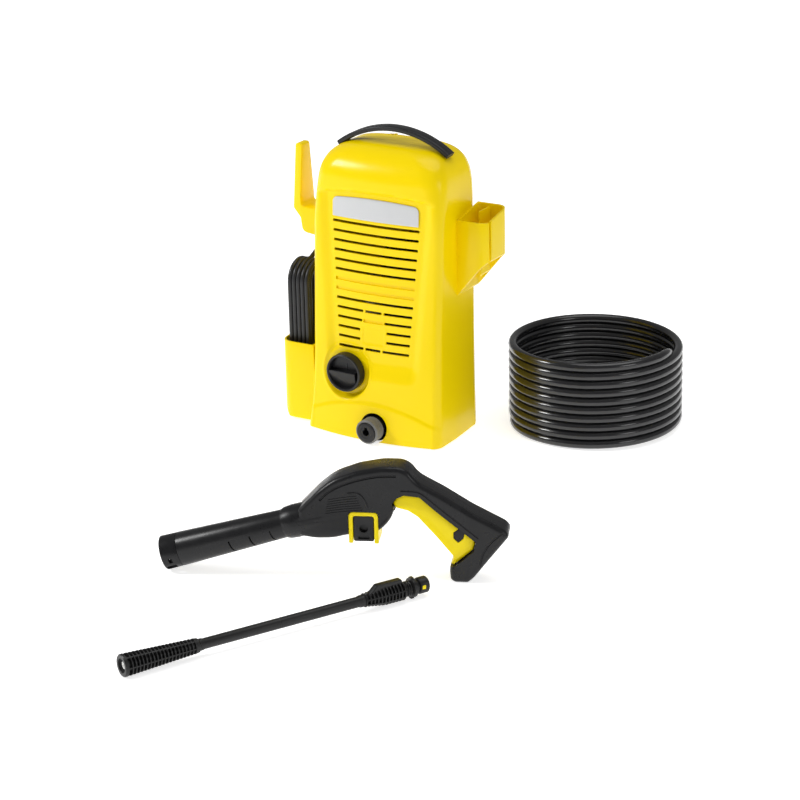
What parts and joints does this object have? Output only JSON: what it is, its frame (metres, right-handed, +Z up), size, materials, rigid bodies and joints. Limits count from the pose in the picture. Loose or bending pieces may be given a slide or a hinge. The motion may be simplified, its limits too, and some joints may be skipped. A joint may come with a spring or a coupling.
{
  "type": "pressure washer",
  "caption": "Upright electric pressure washer with carry handle and rotary switch, with its trigger gun, spray lance and coiled high-pressure hose laid out beside it.",
  "frame": {"origin": "middle of the machine's footprint, on its flat underside", "axes": "+Z up, the machine's switch and grille face -Y, +X to the right seen from the front"},
  "size_m": [0.5729, 1.1313, 0.44],
  "materials": {
    "yellow_plastic": "bright glossy yellow moulded plastic",
    "gun_yellow": "bright yellow moulded plastic, slightly satin",
    "black_plastic": "black moulded plastic, fine texture",
    "gun_black": "dark grey-black satin moulded plastic",
    "lance_black": "dark grey-black satin moulded plastic",
    "grey_plastic": "mid-grey moulded plastic",
    "badge_silver": "silver lacquered plate, blank",
    "white_plastic": "off-white plastic",
    "steel": "machined steel",
    "aluminium": "die-cast aluminium",
    "copper": "copper windings and segments",
    "brass": "turned brass",
    "carbon": "pressed carbon",
    "cord_rubber": "black rubber-sheathed flex",
    "hose_rubber": "glossy black pressure hose"
  },
  "bodies": {
    "machine": {"front_cover": "yellow_plastic", "rear_cover": "yellow_plastic", "cable_pocket": "yellow_plastic", "gun_holster": "yellow_plastic", "cable_hook": "yellow_plastic", "base_tray": "black_plastic", "carry_handle": "black_plastic", "power_switch": "black_plastic", "outlet_coupling": "black_plastic", "water_inlet": "black_plastic", "cord_gland": "black_plastic", "motor_frame": "black_plastic", "badge_plate": "badge_silver", "inlet_filter": "white_plastic", "capacitor": "white_plastic", "cover_screw_1": "steel", "cover_screw_2": "steel", "stator": "steel", "lower_bearing": "steel", "upper_bearing": "steel", "piston_1": "steel", "piston_2": "steel", "piston_3": "steel", "gear_housing": "aluminium", "pump_head": "aluminium", "inlet_pipe": "aluminium", "outlet_pipe": "aluminium", "brush_left": "carbon", "brush_right": "carbon", "power_cord": "cord_rubber", "cord_hank": "cord_rubber", "cord_tail": "cord_rubber", "power_plug": "cord_rubber"},
    "knob": {"switch_knob": "black_plastic"},
    "outlet_button": {"outlet_release": "grey_plastic"},
    "rotor": {"rotor_core": "copper", "motor_shaft": "steel", "commutator": "copper", "cooling_fan": "black_plastic", "pinion": "steel"},
    "pump": {"pump_gear": "steel", "swash_plate": "steel"},
    "gun": {"gun_shell_left": "gun_black", "gun_shell_right": "gun_black", "gun_barrel": "gun_black", "muzzle_ring": "gun_black", "trigger_pin": "steel", "hose_socket": "gun_black", "gun_valve": "brass"},
    "trigger": {"trigger": "gun_yellow"},
    "lock": {"trigger_lock": "gun_black"},
    "clip": {"release_clip": "gun_yellow"},
    "lance": {"nozzle_head": "lance_black", "lance_tube": "lance_black", "lance_grip": "lance_black", "bayonet_connector": "lance_black"},
    "jet": {"jet_rotor": "white_plastic"},
    "hose": {"hose_coil": "hose_rubber", "hose_end_machine": "black_plastic", "hose_end_gun": "black_plastic"}
  },
  "joints": [
    {"name": "switch_turn", "type": "hinge", "parent": "machine", "child": "knob", "pos_m": [-0.041, -0.08, 0.094], "axis": [0, 1, 0], "range_deg": [0, 90]},
    {"name": "outlet_release_press", "type": "slide", "parent": "machine", "child": "outlet_button", "axis": [0, 1, 0], "range_m": [0, 0.003], "stiffness_N_per_m": 300},
    {"name": "rotor_spin", "type": "hinge", "parent": "machine", "child": "rotor", "pos_m": [0.012, 0.0185, 0.2], "axis": [0, 0, 1], "continuous": true},
    {"name": "pump_spin", "type": "hinge", "parent": "machine", "child": "pump", "pos_m": [0.012, -0.022, 0.1], "axis": [0, 0, 1], "continuous": true},
    {"name": "gun_lift", "type": "slide", "parent": "machine", "child": "gun", "axis": [0, 0, 1], "range_m": [0, 0.3]},
    {"name": "trigger_squeeze", "type": "hinge", "parent": "gun", "child": "trigger", "pos_m": [0.28037, -0.47085, 0.106], "axis": [0.3971, -0.9178, 0], "range_deg": [0, 9], "stiffness_Nm_per_rad": 1.2},
    {"name": "trigger_lock_push", "type": "slide", "parent": "trigger", "child": "lock", "axis": [-0.3971, 0.9178, 0], "range_m": [0, 0.003]},
    {"name": "release_clip_push", "type": "slide", "parent": "gun", "child": "clip", "axis": [0.3971, -0.9178, 0], "range_m": [0, 0.003], "stiffness_N_per_m": 300},
    {"name": "lance_lift", "type": "slide", "parent": "machine", "child": "lance", "axis": [0, 0, 1], "range_m": [0, 0.3]},
    {"name": "jet_spin", "type": "hinge", "parent": "lance", "child": "jet", "pos_m": [0.14391, -0.85819, 0.014], "axis": [0.4741, 0.8805, 0], "continuous": true},
    {"name": "hose_lift", "type": "slide", "parent": "machine", "child": "hose", "axis": [0, 0, 1], "range_m": [0, 0.3]}
  ],
  "couplings": [
    {"joint": "pump_spin", "follows": "rotor_spin", "ratio": -0.31707}
  ]
}
